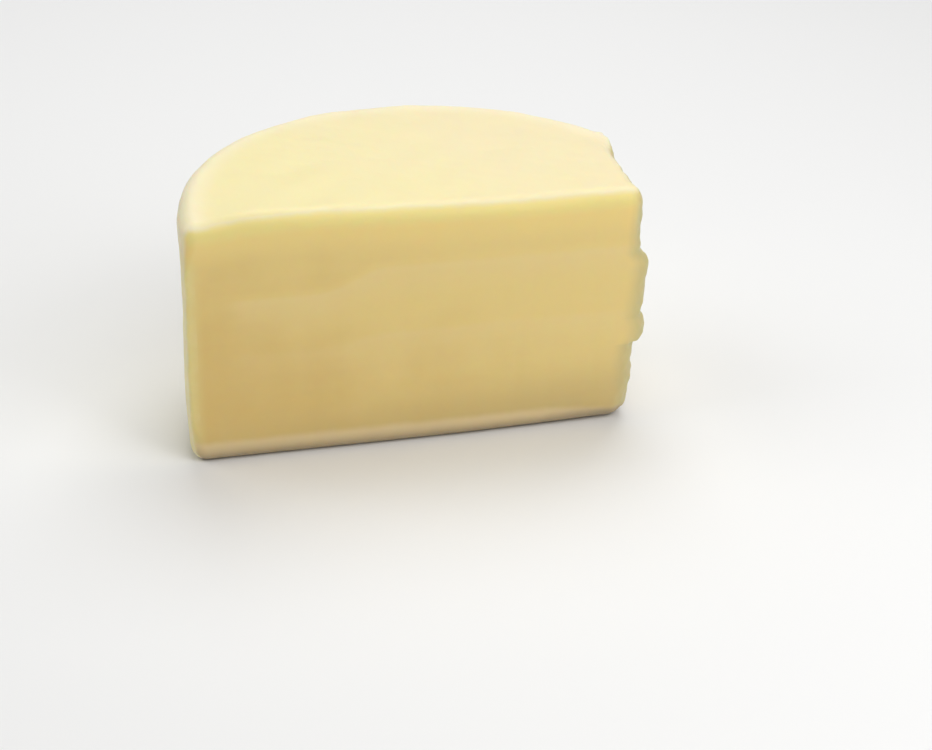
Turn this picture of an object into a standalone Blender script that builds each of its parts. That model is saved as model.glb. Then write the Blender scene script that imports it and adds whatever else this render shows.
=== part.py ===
"""Half wheel of kashkaval cheese that stands on its flat base, its right end sliced off.

The block is the soft intersection of five faces: the level top, the flat base, the round
rind wall behind, the smooth cut face in front and the terraced slice at the right end.
Each face has its own unevenness, and one edge radius, which differs from place to place,
rounds the edges between them. A primitive grid is wrapped round a sharp prism of the same
plan, and each of its points is then moved along the line from the middle of the block until
it lies on the soft form.

Metres, +Z up. The cut face looks along -Y and its length runs along X. The origin is on the
base, under the middle of the bounding box. Inside the functions, x and y are counted from
the wheel's axis and from the cut face.
"""
import math

import bmesh
import bpy
import numpy as np

# The wheel, and where the two cuts pass through it
WHEEL_RADIUS = 0.100
WHEEL_HEIGHT = 0.1000
AXIS_BEHIND_CUT = 0.0018
END_SLICE_X = 0.0775

# Radius of the rounded edges, by place
SIDE_EDGE_LEFT = 0.0015
SIDE_EDGE_RIGHT = 0.0045
TOP_EDGE = 0.0058
BASE_EDGE_LEFT = 0.0056
BASE_EDGE_RIGHT = 0.0080
BACK_CORNER_EDGE = 0.0012    # where the end slice meets the round wall
BACK_CORNER_FROM = 0.0745    # this rounding takes over between these two lengths
BACK_CORNER_TO = 0.0815
EDGE_REACH = 0.0200          # heights from the rim at which a rim's radius fades out
EDGE_FULL = 0.0060           # and at which it is in full force

# Rind wall: narrower towards the base, with a soft swelling below the top rim
WALL_DRAFT = 0.0014
RIM_SWELL = 0.0006
RIM_SWELL_Z = 0.0945
RIM_SWELL_HEIGHT = 0.0090
FOOT_TUCK = 0.0016           # the wall draws in by this at the base
FOOT_TUCK_HEIGHT = 0.0120
WALL_WOBBLE = 0.0003
WOBBLES_ROUND = 6.0          # waves of the wobble in a full turn
WOBBLE_LEAN = 7.7            # how far they lean, in radians for each metre of height
OVALITY = 0.0007             # radius gained one way and lost across it
OVAL_ALONG = math.radians(115.0)

# Top: higher on the left, with a low hump, a shallow dip and a slumped front left corner
TOP_FALL = 0.008             # fall for each metre towards +X
HUMP = 0.0009
HUMP_X = -0.058
HUMP_LENGTH = 0.024
DIP = 0.0006
DIP_X = 0.018
DIP_LENGTH = 0.034
TOP_FADE_Y = 0.050           # hump and dip die away this far behind the cut face
CORNER_SLUMP = 0.0022
SLUMP_LENGTH = 0.026
SLUMP_DEPTH = 0.032

# Cut face: faint ledges left by the knife, which was lifted on its way from left to right.
# Each has its height left and right of that place, and its share of the full step there.
# The face rolls back to the top rim, and its lower right falls back.
LEDGES = ((0.0692, 0.0780, 1.0, 1.0), (0.0460, 0.0502, 0.2, 0.5))
LIFT_FROM = -0.050
LIFT_TO = -0.022
LEDGE = 0.0004               # how far the face steps forward from above a ledge to below it
LEDGE_SLOPE = 0.0060         # height of that step
LEDGE_FADE = 0.0150          # and the height over which it dies away above and below
RIM_ROLL = 0.0008
RIM_ROLL_HEIGHT = 0.0080
FALL_BACK = 0.0008

# End slice: one terrace that climbs to the back rim, and a bead along its lower edge
TERRACE = 0.0050
TERRACE_Z = 0.0712           # middle of the terrace's upper edge at the cut face
TERRACE_SLOPE = 0.0062       # height of that edge
TERRACE_SLOPE_BACK = 0.0340  # and its height where it meets the back rim
TERRACE_TAPER = 0.45         # share of it lost over the height down to the bead
TERRACE_CLIMB = 0.0330       # rise of its upper edge between the two depths that follow
CLIMB_START = 0.026
CLIMB_END = 0.057
BEAD = 0.0044
BEAD_Z = 0.0402
BEAD_HALF = 0.0061
BEAD_POWER = 2.5             # 2 makes the bead an ellipse, more makes it squarer
BEAD_CLIMB = 0.10            # rise for each metre towards the back
GROOVE_FROM = 0.4            # share of the bead's half height where the terrace starts
BACK_LOSS = 0.20             # share of terrace and bead lost on the way to the back
SLICE_WOBBLE = 0.0002
SLICE_WAVE_Y = 190.0         # the wobble's radians for each metre back and up
SLICE_WAVE_Z = 60.0
SLICE_FLARE = 0.0012         # the slice runs out at the front of the top rim
SLICE_FLARE_Z = 0.0800
SLICE_FLARE_Y = 0.0100
# A notch and a swell in its top rim: the place of each and how far it cuts in
NOTCHES = ((0.0125, 0.0009), (0.0290, -0.0006))
NOTCH_HALF = 0.0040

# Mesh: points along the three sides of the plan, rows up the wall, rings on top and base
POINTS_FRONT = 30
POINTS_END = 22
POINTS_ROUND = 40
ROWS_WALL = 37
RINGS_CAP = 7
CROWDING = 0.6               # 0 spaces the points evenly, 1 draws them to the corners
EXTRA_ROWS = 1.3             # how much closer the rows are at an edge than elsewhere
EXTRA_ROWS_REACH = 0.0060
LEAN_REACH = 0.0200          # rows this near the bead climb with it along the end slice
HEIGHT_SAMPLES = 1001
BLOCK_MIDDLE = (-0.010, 0.045, 0.050)
CAST_FROM = 0.5              # shortest and longest search along a line from the middle
CAST_TO = 1.2
CAST_STEPS = 40
WELD = 0.000001

CHEESE_COLOR = (0.80, 0.62, 0.30, 1.0)
CHEESE_ROUGHNESS = 0.45


def smooth_step(value, start, end):
    """0 before start, 1 after end and a smooth S between them."""
    t = np.clip((value - start) / (end - start), 0.0, 1.0)
    return t * t * (3.0 - 2.0 * t)


def bell(value, middle, half_width):
    """Bell curve of height 1."""
    return np.exp(-((value - middle) / half_width) ** 2)


def wall_radius(angle, z):
    """Radius of the rind wall: drafted, tucked in at the foot, swollen below the rim, oval."""
    draft = WALL_DRAFT * (1.0 - z / WHEEL_HEIGHT) + FOOT_TUCK * np.exp(-z / FOOT_TUCK_HEIGHT)
    swell = RIM_SWELL * bell(z, RIM_SWELL_Z, RIM_SWELL_HEIGHT)
    wobble = WALL_WOBBLE * np.sin(WOBBLES_ROUND * angle + WOBBLE_LEAN * z)
    oval = OVALITY * np.cos(2.0 * (angle - OVAL_ALONG))
    return WHEEL_RADIUS - draft + swell + wobble + oval


def top_height(x, y):
    """Height of the top: tilted, with a hump, a dip and one slumped corner."""
    waves = HUMP * bell(x, HUMP_X, HUMP_LENGTH) - DIP * bell(x, DIP_X, DIP_LENGTH)
    left = smooth_step(-x, WHEEL_RADIUS - SLUMP_LENGTH, WHEEL_RADIUS)
    front = 1.0 - smooth_step(y, 0.0, SLUMP_DEPTH)
    level = WHEEL_HEIGHT - TOP_FALL * x + waves * bell(y, 0.0, TOP_FADE_Y)
    return level - CORNER_SLUMP * left * front


def ledge(depth):
    """Share of a ledge's step at a depth below its line.

    It is minus a half just above the line and a half just below, and dies away both ways.
    """
    step = smooth_step(depth, -0.5 * LEDGE_SLOPE, 0.5 * LEDGE_SLOPE) - 0.5
    return step * np.exp(-np.abs(depth) / LEDGE_FADE)


def all_ledges(x, z):
    """Sum of the ledges' shares at each place of the cut face."""
    lifted = smooth_step(x, LIFT_FROM, LIFT_TO)
    total = 0.0
    for left_z, right_z, left_share, right_share in LEDGES:
        depth = left_z + (right_z - left_z) * lifted - z
        total = total + (left_share + (right_share - left_share) * lifted) * ledge(depth)
    return total


def cut_face_y(x, z):
    """Where the cut face lies: stepped by ledges, its rim and its lower right fallen back."""
    roll = np.exp(-np.clip(WHEEL_HEIGHT - z, 0.0, None) / RIM_ROLL_HEIGHT)
    right = np.clip(x / END_SLICE_X, 0.0, 1.0) ** 2
    low = np.clip(1.0 - z / WHEEL_HEIGHT, 0.0, 1.0) ** 2
    return FALL_BACK * right * low + RIM_ROLL * roll - LEDGE * all_ledges(x, z)


def terrace(y, z):
    """Step that stands out below a line which climbs to the top rim near the back.

    The steeper the line climbs, the more gently the step rises from it.
    """
    climb = smooth_step(y, CLIMB_START, CLIMB_END)
    widening = smooth_step(y, 0.0, CLIMB_END)
    half_slope = 0.5 * (TERRACE_SLOPE + (TERRACE_SLOPE_BACK - TERRACE_SLOPE) * widening)
    depth = TERRACE_Z + TERRACE_CLIMB * climb - z
    step = smooth_step(depth, -half_slope, half_slope)
    taper = 1.0 - TERRACE_TAPER * np.clip(depth / (TERRACE_Z - BEAD_Z - BEAD_HALF), 0.0, 1.0)
    above_bead = (z - BEAD_Z - BEAD_CLIMB * y) / BEAD_HALF
    return TERRACE * step * taper * smooth_step(above_bead, GROOVE_FROM, 1.0)


def bead(y, z):
    """Rounded bead with a steep underside."""
    offset = np.abs(z - BEAD_Z - BEAD_CLIMB * y) / BEAD_HALF
    return BEAD * np.clip(1.0 - offset ** BEAD_POWER, 0.0, 1.0) ** (1.0 / BEAD_POWER)


def end_slice_x(y, z):
    """Where the end slice lies: its plane, terrace and bead, wavy, its top rim notched."""
    to_back = smooth_step(y, 0.0, CLIMB_END)
    steps = np.maximum(terrace(y, z), bead(y, z)) * (1.0 - BACK_LOSS * to_back)
    wobble = SLICE_WOBBLE * np.sin(SLICE_WAVE_Y * y + SLICE_WAVE_Z * z)
    near_top = smooth_step(z, SLICE_FLARE_Z, WHEEL_HEIGHT)
    flare = SLICE_FLARE * (1.0 - smooth_step(y, 0.0, SLICE_FLARE_Y))
    notches = sum(depth * bell(y, place, NOTCH_HALF) for place, depth in NOTCHES)
    return END_SLICE_X + steps + wobble + (flare - notches) * near_top


def edge_radius(x, y, z):
    """Rounding between neighbouring faces, blended from base to side to top."""
    right = smooth_step(x, 0.0, END_SLICE_X)
    side_edge = SIDE_EDGE_LEFT + (SIDE_EDGE_RIGHT - SIDE_EDGE_LEFT) * right
    base_edge = BASE_EDGE_LEFT + (BASE_EDGE_RIGHT - BASE_EDGE_LEFT) * right
    near_base = 1.0 - smooth_step(z, EDGE_FULL, EDGE_REACH)
    near_top = smooth_step(z, WHEEL_HEIGHT - EDGE_REACH, WHEEL_HEIGHT - EDGE_FULL)
    radius = (side_edge + (base_edge - side_edge) * near_base
              + (TOP_EDGE - side_edge) * near_top)
    at_end = smooth_step(x, BACK_CORNER_FROM, BACK_CORNER_TO)
    at_back = smooth_step(y, CLIMB_START, CLIMB_END)
    return radius + (BACK_CORNER_EDGE - radius) * at_end * at_back


def outside(points):
    """Distance of each point outside the block, by the rounded maximum of five faces.

    Each face gives the distance past it. The edge radius is added to each, negative sums
    count as nothing, and the root of the sum of squares less the radius is the result,
    which makes every edge between two faces a quarter circle.
    """
    x, y, z = points.T
    behind_axis = y - AXIS_BEHIND_CUT
    angle = np.arctan2(behind_axis, x)
    past_faces = np.stack([
        z - top_height(x, y),
        -z,
        np.hypot(x, behind_axis) - wall_radius(angle, z),
        cut_face_y(x, z) - y,
        x - end_slice_x(y, z),
    ])
    radius = edge_radius(x, y, z)
    past_edges = np.clip(past_faces + radius, 0.0, None)
    rounded = np.sqrt((past_edges ** 2).sum(axis=0)) - radius
    return np.where(rounded > -radius, rounded, past_faces.max(axis=0))


def crowded(count):
    """Fractions from 0 up to but not 1, closer together near both ends."""
    t = np.arange(count) / count
    return t - CROWDING * np.sin(2.0 * math.pi * t) / (2.0 * math.pi)


def wall_heights():
    """Heights of the rows up the wall, closer at the rims and at the end slice's steps."""
    z = np.linspace(0.0, WHEEL_HEIGHT, HEIGHT_SAMPLES)
    edges = (0.0, BEAD_Z - BEAD_HALF, BEAD_Z + BEAD_HALF, TERRACE_Z, WHEEL_HEIGHT)
    density = 1.0 + EXTRA_ROWS * sum(bell(z, edge, EXTRA_ROWS_REACH) for edge in edges)
    passed = np.cumsum(density) - density[0]
    return np.interp(np.linspace(0.0, passed[-1], ROWS_WALL + 1), passed, z)


def sharp_plan():
    """Closed outline of the sharp prism: cut face, end slice, then the round wall."""
    corner_y = AXIS_BEHIND_CUT + math.sqrt(WHEEL_RADIUS ** 2 - END_SLICE_X ** 2)
    start = math.atan2(corner_y - AXIS_BEHIND_CUT, END_SLICE_X)
    finish = math.pi + math.asin(AXIS_BEHIND_CUT / WHEEL_RADIUS)
    left = WHEEL_RADIUS * math.cos(finish)
    front_x = left + (END_SLICE_X - left) * crowded(POINTS_FRONT)
    end_y = corner_y * crowded(POINTS_END)
    angles = start + (finish - start) * crowded(POINTS_ROUND)
    front = np.stack([front_x, np.zeros(POINTS_FRONT)], axis=1)
    end = np.stack([np.full(POINTS_END, END_SLICE_X), end_y], axis=1)
    wall = np.stack([WHEEL_RADIUS * np.cos(angles),
                     AXIS_BEHIND_CUT + WHEEL_RADIUS * np.sin(angles)], axis=1)
    return np.concatenate([front, end, wall, front[:1]])


def rows():
    """Share of the plan's width and the height of each row, from base to top."""
    inner = np.sin(0.5 * math.pi * np.arange(RINGS_CAP) / RINGS_CAP)
    base_z = np.zeros(RINGS_CAP)
    top_z = np.full(RINGS_CAP, WHEEL_HEIGHT)
    share = np.concatenate([inner, np.ones(ROWS_WALL + 1), inner[::-1]])
    height = np.concatenate([base_z, wall_heights(), top_z])
    return share, height


def cast_on_block(targets):
    """Move each point along the line from the block's middle onto the soft form."""
    middle = np.array(BLOCK_MIDDLE)
    lines = targets - middle
    near = np.full(len(targets), CAST_FROM)
    far = np.full(len(targets), CAST_TO)
    for _ in range(CAST_STEPS):
        trial = 0.5 * (near + far)
        is_out = outside(middle + lines * trial[:, None]) > 0.0
        far = np.where(is_out, trial, far)
        near = np.where(is_out, near, trial)
    return middle + lines * near[:, None]


def block_points():
    """The grid's points on the block, row by row, with the origin set below the middle."""
    plan = sharp_plan()
    share, height = rows()
    middle = np.array(BLOCK_MIDDLE)
    flat = middle[:2] + (plan - middle[:2]) * share[:, None, None]
    at_end = smooth_step(flat[:, :, 0], END_SLICE_X - LEAN_REACH, END_SLICE_X)
    lean = BEAD_CLIMB * flat[:, :, 1] * at_end * bell(height, BEAD_Z, LEAN_REACH)[:, None]
    level = height[:, None] + lean
    points = cast_on_block(np.dstack([flat, level]).reshape(-1, 3))
    points[np.abs(points[:, 2]) < WELD, 2] = 0.0
    low, high = points.min(axis=0), points.max(axis=0)
    points[:, :2] -= 0.5 * (low + high)[:2]
    return points, len(plan), len(height)


def build_block(collection):
    """Wrap a primitive grid round the block, close its seam and its two middles."""
    points, across, up = block_points()
    shape = bmesh.new()
    bmesh.ops.create_grid(shape, x_segments=across - 1, y_segments=up - 1, size=0.5)
    for vertex in shape.verts:
        column = round((vertex.co.x + 0.5) * (across - 1))
        row = round((vertex.co.y + 0.5) * (up - 1))
        vertex.co = points[row * across + column]
    bmesh.ops.remove_doubles(shape, verts=shape.verts, dist=WELD)
    bmesh.ops.recalc_face_normals(shape, faces=shape.faces)
    mesh = bpy.data.meshes.new("half_wheel")
    shape.to_mesh(mesh)
    shape.free()
    mesh.shade_smooth()
    mesh.materials.append(cheese_material())
    block = bpy.data.objects.new("half_wheel", mesh)
    collection.objects.link(block)
    return block


def cheese_material():
    """Pale yellow, slightly waxy cheese."""
    material = bpy.data.materials.new("cheese")
    material.use_nodes = True
    shader = material.node_tree.nodes["Principled BSDF"]
    shader.inputs["Base Color"].default_value = CHEESE_COLOR
    shader.inputs["Roughness"].default_value = CHEESE_ROUGHNESS
    shader.inputs["Metallic"].default_value = 0.0
    material.diffuse_color = CHEESE_COLOR
    return material


def clear_scene():
    """Remove every object that the open file holds."""
    for item in list(bpy.data.objects):
        bpy.data.objects.remove(item, do_unlink=True)


def main():
    clear_scene()
    collection = bpy.data.collections.new("kashkaval_half_wheel")
    bpy.context.scene.collection.children.link(collection)
    build_block(collection)


main()
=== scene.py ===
"""Looks of a half wheel of kashkaval cheese: its fine surface, its materials and its studio.

The half wheel is the soft intersection of five faces, the top, the base, the round rind wall,
the cut face and the terraced end slice, drawn finer than the solid it stands for. Sizes are
metres, +Z up. Inside the shape functions x is counted from the wheel's axis and y from the
cut face; one shift then puts the form into the frame's box.
"""

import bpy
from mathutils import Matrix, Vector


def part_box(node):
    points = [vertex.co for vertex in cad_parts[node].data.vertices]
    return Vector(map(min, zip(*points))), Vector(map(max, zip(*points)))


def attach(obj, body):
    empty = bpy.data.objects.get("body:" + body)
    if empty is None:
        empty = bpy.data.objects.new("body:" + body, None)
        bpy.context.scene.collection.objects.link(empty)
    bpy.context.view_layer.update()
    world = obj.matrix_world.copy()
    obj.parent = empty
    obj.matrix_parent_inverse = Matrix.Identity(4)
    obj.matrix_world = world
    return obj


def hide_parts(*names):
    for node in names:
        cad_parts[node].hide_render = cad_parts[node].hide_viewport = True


bl_info = {
    "name": "Kashkaval Half Wheel",
    "version": (1, 0, 0),
    "blender": (4, 5, 0),
    "location": "View3D > Sidebar > Kashkaval",
    "description": "Half wheel of kashkaval cheese with rind, cut faces and a plain studio",
    "category": "Add Mesh",
}

import math

import bpy
import numpy as np
from bpy.props import FloatProperty, FloatVectorProperty, PointerProperty
from bpy.types import Operator, Panel, PropertyGroup
from mathutils import Matrix, Vector

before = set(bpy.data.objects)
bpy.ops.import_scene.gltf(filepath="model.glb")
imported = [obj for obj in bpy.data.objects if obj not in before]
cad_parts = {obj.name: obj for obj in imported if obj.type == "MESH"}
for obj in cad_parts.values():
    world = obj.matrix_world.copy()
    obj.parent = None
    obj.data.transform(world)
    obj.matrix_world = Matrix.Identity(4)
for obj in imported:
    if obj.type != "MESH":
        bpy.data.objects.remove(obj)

NODE = "half_wheel"
PIECE = "cheese_half_wheel"

# Order of the five faces in every array of faces
TOP, BASE, WALL, CUT, END = range(5)

# Wall and top
WALL_DRAFT = 0.0014
RIM_SWELL = 0.0006
RIM_SWELL_Z = 0.0945
RIM_SWELL_HEIGHT = 0.0090
FOOT_TUCK = 0.0016
FOOT_TUCK_HEIGHT = 0.0120
WALL_WOBBLE = 0.0003
WOBBLES_ROUND = 6.0
WOBBLE_LEAN = 7.7
OVALITY = 0.0007
OVAL_ALONG = math.radians(115.0)
TOP_FALL = 0.008
HUMP = 0.0009
HUMP_X = -0.058
HUMP_LENGTH = 0.024
DIP = 0.0006
DIP_X = 0.018
DIP_LENGTH = 0.034
TOP_FADE_Y = 0.050
CORNER_SLUMP = 0.0022
SLUMP_LENGTH = 0.026
SLUMP_DEPTH = 0.032

# Cut face: each ledge has its height left and right of where the knife was lifted, and its
# share of the full step there
LEDGES = ((0.0692, 0.0780, 1.0, 1.0), (0.0460, 0.0502, 0.2, 0.5))
LIFT_FROM = -0.050
LIFT_TO = -0.022
LEDGE = 0.0004
LEDGE_SLOPE = 0.0060
LEDGE_FADE = 0.0150
RIM_ROLL = 0.0008
RIM_ROLL_HEIGHT = 0.0080
FALL_BACK = 0.0008

# End slice
TERRACE = 0.0050
TERRACE_Z = 0.0712
TERRACE_SLOPE = 0.0062
TERRACE_SLOPE_BACK = 0.0340
TERRACE_TAPER = 0.45
TERRACE_CLIMB = 0.0330
CLIMB_START = 0.026
CLIMB_END = 0.057
BEAD = 0.0044
BEAD_Z = 0.0402
BEAD_HALF = 0.0061
BEAD_POWER = 2.5
BEAD_CLIMB = 0.10
GROOVE_FROM = 0.4
BACK_LOSS = 0.20
SLICE_WOBBLE = 0.0002
SLICE_WAVE_Y = 190.0
SLICE_WAVE_Z = 60.0
SLICE_FLARE = 0.0012
SLICE_FLARE_Z = 0.0800
SLICE_FLARE_Y = 0.0100
NOTCHES = ((0.0125, 0.0009), (0.0290, -0.0006))
NOTCH_HALF = 0.0040

# Rounded edges
BASE_EDGE_LEFT = 0.0056
BASE_EDGE_RIGHT = 0.0080
BACK_CORNER_EDGE = 0.0012
BACK_CORNER_FROM = 0.0745
BACK_CORNER_TO = 0.0815
EDGE_REACH = 0.0200
EDGE_FULL = 0.0060

# Grid: columns along the three sides of the plan, rows up the wall, rings on top and base
COLUMNS_FRONT = 214
COLUMNS_END = 76
COLUMNS_ROUND = 190
ROWS_WALL = 112
RINGS_CAP = 38
CROWDING = 0.6
EXTRA_ROWS = 1.3
EXTRA_ROWS_REACH = 0.0060
LEAN_REACH = 0.0200
HEIGHT_SAMPLES = 2001
BLOCK_MIDDLE = np.array([-0.010, 0.045, 0.050])
CAST_FROM = 0.5
CAST_TO = 1.2
CAST_STEPS = 30
GRADIENT_STEP = 0.0001

# Rind on the cut faces: how far it reaches below the top, and how much further on the left
RIM_SKIN = 0.0015
RIM_SKIN_LEFT = 0.0006
RIM_SKIN_LEFT_FROM = 0.040
RIM_SKIN_LEFT_TO = 0.080

# Where the rind ends beside the wall, as a share of the rounding there
WALL_SKIN = 0.4

# How far the rind's thin edge reaches up from the base, and how much less on the right
FOOT_SKIN = 0.0084
FOOT_SKIN_LOSS = 0.0036
FOOT_SKIN_LOSS_FROM = 0.040
FOOT_SKIN_LOSS_TO = 0.085

# Depths from the rind's edges are stored up to the first limit, and depths below the top and
# beside the wall up to the second
SKIN_LIMIT = 0.0030
SKIN_FAR = 0.0200

# Dimples in the top, by their place from the wheel's axis and the cut face
DIMPLES = ((-0.0767, 0.0414), (-0.0065, 0.0655), (0.0313, 0.0483))
DIMPLE = 0.00022
DIMPLE_HALF = 0.0032

# Sliced end: how far its dry edge reaches into the cut face above and below the terrace's
# line, how far it reaches in from the other edges, how near to each it is fully dry, and its
# share inside. Its colour there is partly the torn curd's own and partly painted shade on the
# rounded edges
DRIED_EDGE = 0.0070
DRIED_EDGE_LOW = 0.0105
DRIED_EDGE_FULL = 0.0002
DRIED_RIM = 0.0160
DRIED_RIM_FULL = 0.0010
DRIED_INSIDE = 0.20

# The ledges' painted light and shade is missing left of the first place and full right of the
# second
LEDGE_SHADING_FROM = -0.088
LEDGE_SHADING_TO = -0.076

# Fine relief, as sets of waves: each has its length, seed, stretch along x, y and z, and share.
# The crumbs lie lower than the form by their sink, so that more is lost than stuck on
EVEN = (1.0, 1.0, 1.0)
RIND_WAVES = ((0.024, 11, EVEN, 1.0), (0.008, 12, EVEN, 0.35))
CURD_WAVES = ((0.006, 21, (7.0, 2.0, 1.0), 1.0), (0.008, 22, (1.0, 1.0, 8.0), 0.6))
TORN_WAVES = ((0.006, 31, (1.0, 5.0, 1.0), 0.7), (0.013, 32, EVEN, 0.7))
CRUMB_WAVES = ((0.0038, 41, EVEN, 0.6), (0.0085, 42, EVEN, 0.6))
CRUMB_SINK = 0.5
WAVES_IN_SET = 30
SHORTEST_WAVE = 0.7
LONGEST_WAVE = 1.4

# Where one finish passes into the next, as depths inside the rind or inside its foot edge, and
# how far these borders wander
RIND_BORDER = (-0.0009, 0.0008)
FOOT_BORDER = (-0.0022, 0.0014)
BORDER_WANDER = 0.0003

# Painted highlight on the rind's edge: the depths where it starts and is full, coming from deeper
# rind and from the border, and its share; and the crown's painted light, by depth below top and
# beside wall together
RIM_FADE_IN = (0.0014, 0.0008)
RIM_FADE_OUT = (0.0, 0.0008)
RIM_HIGHLIGHT_SHARE = 0.6
CROWN_FADE = (-0.0140, -0.0020)
CROWN_LIGHT_SHARE = 0.8

# Foot edge: the heights where its painted shade starts and is darkest, the height below which
# it turns pale again towards the base, and how much higher the first two lie at the sliced end
UNDER_SHADE_FADE = (0.0085, 0.0010)
UNDER_ROLLED = 0.0006
UNDER_CLIMB = 0.0020
UNDER_CLIMB_FROM = 0.045
UNDER_CLIMB_TO = 0.080

# Paste: how far layers and mottle sway its depth of colour, how much painted shade deepens it
# above a ledge and for which shares of its step, and the slope up to the right of the painted
# shade at its foot
LAYER_SWAY = 0.05
MOTTLE_SWAY = 0.09
ABOVE_LEDGE_SHADE = 0.14
ABOVE_SHADE_FADE = (-0.5, 0.0)
FOOT_SHADE_CLIMB = 0.10

# Tints of the paste: where each starts and is full, and its share where that isn't all. They
# go by a ledge's step, height, depth beside the wall and, for the last two, below the top. They
# are painted light under a ledge, painted shade at the foot, the wall's greener paste, and a
# painted glow of light below the top rim
LEDGE_LIGHT_FADE = (0.0, 0.5)
LEDGE_LIGHT_SHARE = 0.55
FOOT_SHADE_FADE = (0.030, -0.002)
WALL_FADE = (-0.0070, -0.0005)
WALL_SHARE = 0.8
GLOW_LIGHT_FADE = (-0.0170, -0.0050)
GLOW_LEMON_FADE = (-0.0070, -0.0020)

# Gloss and bump: how far smears sway the roughness, each pattern's share of the bump's height,
# and how far a pit reaches in its cell
GLOSS_SWAY = 0.05
PIT_SHARE = -1.0
DRAG_SHARE = 0.15
TORN_SHARE = 1.2
PIT_REACH = 0.26

# Soft lights: name, place, side of the square and the setting that holds the power. All face
# the lit point inside the block
LIGHTS = (
    ("key_light", (0.10, -0.80, 1.20), 0.9, "key_power"),
    ("back_light", (0.25, 0.55, 1.10), 0.9, "back_power"),
    ("side_light", (-0.85, 0.15, 0.85), 0.8, "side_power"),
    ("fill_light", (0.42, -0.50, 0.50), 0.5, "fill_power"))
LIT_POINT = (0.0, 0.0, 0.05)

# Floor, and the camera's sensor in millimetres and its nearest distance
FLOOR_HALF_SIDE = 4.0
SENSOR_WIDTH = 36.0
NEAREST_SEEN = 0.01

# Columns and rows of nodes on the page of the node editor
COLUMN_WIDTH = 200.0
ROW_HEIGHT = 320.0


class BlockSizes(PropertyGroup):
    """Driving sizes of the half wheel."""

    wheel_radius: FloatProperty(
        name="Wheel radius", description="Radius of the whole wheel at its top rim",
        default=0.100, min=0.05, max=0.20, unit="LENGTH", precision=4)
    wheel_height: FloatProperty(
        name="Wheel height", description="Height of the top above the base on the wheel's axis",
        default=0.1000, min=0.04, max=0.20, unit="LENGTH", precision=4)
    axis_behind_cut: FloatProperty(
        name="Axis behind cut", description="How far the wheel's axis lies behind the cut face",
        default=0.0018, min=0.0, max=0.02, unit="LENGTH", precision=4)
    end_slice_x: FloatProperty(
        name="End slice", description="Where the right end was sliced off, from the wheel's axis",
        default=0.0775, min=0.02, max=0.10, unit="LENGTH", precision=4)
    left_edge: FloatProperty(
        name="Left upright edge", description="Rounding where the cut face meets the rind wall",
        default=0.0015, min=0.0005, max=0.01, unit="LENGTH", precision=4)
    right_edge: FloatProperty(
        name="Right upright edge", description="Rounding where the two cuts meet",
        default=0.0045, min=0.0005, max=0.01, unit="LENGTH", precision=4)
    top_edge: FloatProperty(
        name="Top edges", description="Rounding of the edges round the top",
        default=0.0058, min=0.001, max=0.01, unit="LENGTH", precision=4)
    rind_relief: FloatProperty(
        name="Rind relief", description="Height of the rind's soft swells",
        default=0.00010, min=0.0, max=0.001, unit="LENGTH", precision=5)
    curd_relief: FloatProperty(
        name="Curd relief", description="Height of the curd layers on the cut faces",
        default=0.00006, min=0.0, max=0.001, unit="LENGTH", precision=5)
    torn_relief: FloatProperty(
        name="Torn relief", description="Height of the rough curd on the end slice",
        default=0.00022, min=0.0, max=0.002, unit="LENGTH", precision=5)
    crumble: FloatProperty(
        name="Crumble", description="Height of the chips along the edges of the sliced end",
        default=0.00018, min=0.0, max=0.002, unit="LENGTH", precision=5)


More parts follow.
